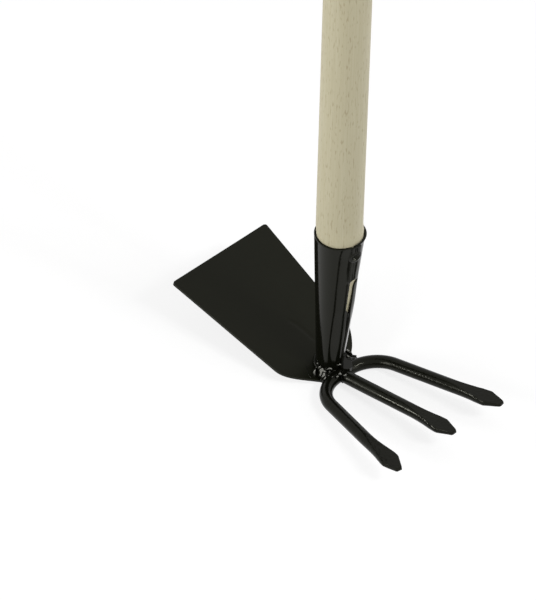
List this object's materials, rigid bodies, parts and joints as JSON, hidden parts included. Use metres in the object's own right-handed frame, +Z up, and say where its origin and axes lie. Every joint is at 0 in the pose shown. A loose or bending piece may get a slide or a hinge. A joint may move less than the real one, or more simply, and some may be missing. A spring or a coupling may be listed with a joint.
{
  "type": "fork and hoe combination tool",
  "caption": "Long handled hand weeder: straight wooden pole in a rolled steel socket, with a flat hoe blade on one side of its foot and a splayed fork of spear-tipped tines on the other.",
  "frame": {"origin": "on the handle's long axis, level with the lowest point of the head, so the tool stands on the plane of the origin", "axes": "+Z runs up the handle, +Y points from the handle's axis towards the hoe blade, -Y towards the tines, +X to the right seen from the fork side"},
  "size_m": [0.0911, 0.2014, 1.3227],
  "materials": {
    "handle_wood": "smooth sanded pale wood, thin clear coat",
    "black_paint": "glossy black stoving paint with slight orange peel",
    "blade_paint": "satin black stoving paint",
    "screw_steel": "black painted screw head"
  },
  "bodies": {
    "root": {"wooden_handle": "handle_wood", "socket": "black_paint", "fixing_screw": "screw_steel", "hoe_blade": "blade_paint", "outer_tines": "black_paint", "middle_tine": "black_paint", "foot_weld": "black_paint", "fork_weld": "black_paint", "middle_tine_weld": "black_paint"}
  },
  "joints": []
}
